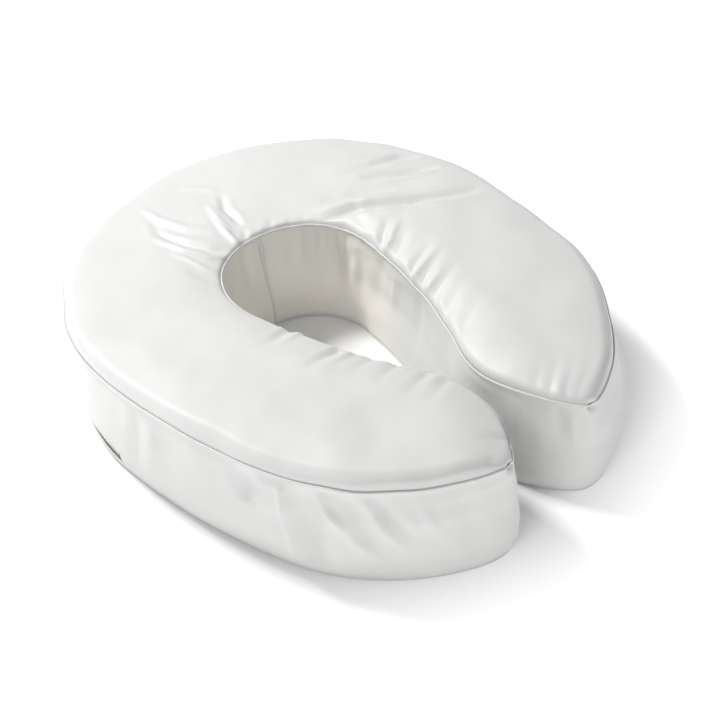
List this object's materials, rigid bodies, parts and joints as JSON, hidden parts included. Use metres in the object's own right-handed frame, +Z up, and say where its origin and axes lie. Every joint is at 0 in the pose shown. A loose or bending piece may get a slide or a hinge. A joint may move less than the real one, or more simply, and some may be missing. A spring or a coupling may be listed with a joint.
{
  "type": "raised toilet seat",
  "caption": "Keyhole-shaped foam cushion that raises a toilet seat: wipe-clean cover, low rear zip with slider and puller, and hook-and-loop straps stowed below.",
  "frame": {"origin": "middle of the cushion's length and width, on the surface it rests on", "axes": "+Z up, +Y to the rear of the seat, the slot between the arms opens towards -Y"},
  "size_m": [0.3558, 0.4359, 0.098],
  "materials": {
    "coated_cover": "satin white coated fabric, wipe clean",
    "base_cloth": "matte white coated fabric",
    "seam_edge": "turned and stitched fabric edge",
    "core_foam": "open-cell flexible foam",
    "zip_tape": "woven polyester tape",
    "zip_coil": "nylon coil",
    "zip_metal": "white lacquered zinc",
    "thread": "polyester thread",
    "strap_webbing": "woven webbing",
    "loop_tape": "brushed loop pile",
    "hook_tape": "moulded nylon hooks"
  },
  "bodies": {
    "cushion": {"foam_core": "core_foam", "top_panel": "coated_cover", "side_band": "coated_cover", "lower_band_strip": "coated_cover", "base_panel": "base_cloth", "top_seam": "seam_edge", "base_seam": "seam_edge", "band_join_seam": "seam_edge", "zip_tape_upper": "zip_tape", "zip_tape_lower": "zip_tape", "zip_coil_upper": "zip_coil", "zip_coil_lower": "zip_coil", "zip_stitching_upper": "thread", "zip_stitching_lower": "thread", "zip_bottom_stop": "zip_metal", "zip_top_stops": "zip_metal", "strap_right_outer_tack": "thread", "strap_right_inner_tack": "thread", "strap_left_outer_tack": "thread", "strap_left_inner_tack": "thread"},
    "zip_slider": {"zip_slider": "zip_metal"},
    "zip_puller": {"zip_puller": "zip_metal"},
    "strap_right_outer": {"strap_right_outer": "strap_webbing", "loop_pad_right": "loop_tape"},
    "strap_right_inner": {"strap_right_inner": "strap_webbing", "hook_pad_right": "hook_tape"},
    "strap_left_outer": {"strap_left_outer": "strap_webbing", "loop_pad_left": "loop_tape"},
    "strap_left_inner": {"strap_left_inner": "strap_webbing", "hook_pad_left": "hook_tape"}
  },
  "joints": [
    {"name": "zip_travel", "type": "hinge", "parent": "cushion", "child": "zip_slider", "pos_m": [0, 0.0425, 0.0125], "axis": [0, 0, 1], "range_deg": [0, 167]},
    {"name": "puller_swing", "type": "hinge", "parent": "zip_slider", "child": "zip_puller", "pos_m": [0.17669, 0.06234, 0.0125], "axis": [0, 0, 1], "range_deg": [0, 175]},
    {"name": "strap_right_outer_swing", "type": "hinge", "parent": "cushion", "child": "strap_right_outer", "pos_m": [0.1628, 0.0345, 0.0019], "axis": [0, -1, 0], "range_deg": [0, 120]},
    {"name": "strap_right_inner_swing", "type": "hinge", "parent": "cushion", "child": "strap_right_inner", "pos_m": [0.0722, 0.0055, 0.0011], "axis": [0, 1, 0], "range_deg": [0, 120]},
    {"name": "strap_left_outer_swing", "type": "hinge", "parent": "cushion", "child": "strap_left_outer", "pos_m": [-0.1628, 0.0345, 0.0019], "axis": [0, 1, 0], "range_deg": [0, 120]},
    {"name": "strap_left_inner_swing", "type": "hinge", "parent": "cushion", "child": "strap_left_inner", "pos_m": [-0.0722, 0.0055, 0.0011], "axis": [0, -1, 0], "range_deg": [0, 120]}
  ]
}
